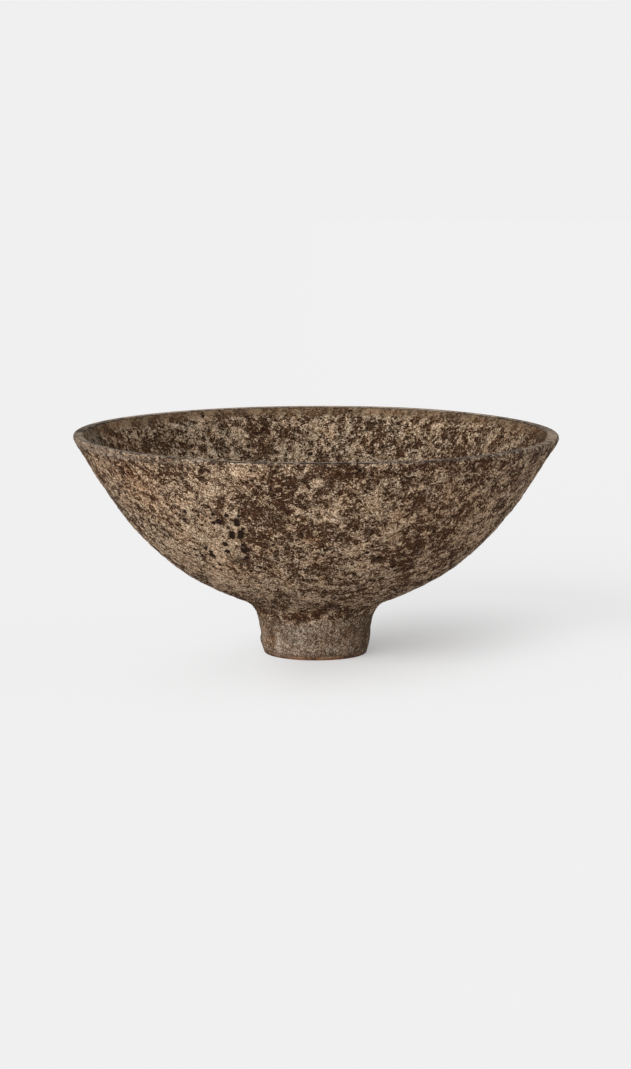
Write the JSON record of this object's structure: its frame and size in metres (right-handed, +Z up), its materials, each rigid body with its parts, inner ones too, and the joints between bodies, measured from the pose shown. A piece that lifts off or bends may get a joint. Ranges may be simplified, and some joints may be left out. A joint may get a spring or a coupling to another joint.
{
  "type": "footed bowl",
  "caption": "Wide round stoneware bowl with a bare, nearly flat lip, raised on a tall narrow hollow foot and coated in a dry mottled brown glaze.",
  "frame": {"origin": "on the surface it stands on, under the middle of the foot", "axes": "+Z up along the turning axis; the bowl is the same all round, so +X and +Y are free"},
  "size_m": [0.3002, 0.3002, 0.1375],
  "materials": {
    "bowl_clay": "smooth bare stoneware, grey-brown from the kiln, with fine speckle",
    "foot_clay": "bare stoneware toasted orange-brown, fine grog",
    "joining_clay": "rough fired slip and clay, hidden under the glaze",
    "foot_coat": "dry matt mottled grey-brown glaze with short runs",
    "outer_coat": "dry matt crusty glaze mottled dark brown and beige",
    "inner_coat": "dry matt mottled brown glaze, a little smoother than outside"
  },
  "bodies": {
    "root": {"bowl_body": "bowl_clay", "foot_ring": "foot_clay", "joint_slip": "joining_clay", "neck_coil": "joining_clay", "foot_glaze": "foot_coat", "outer_glaze": "outer_coat", "inner_glaze": "inner_coat"}
  },
  "joints": []
}
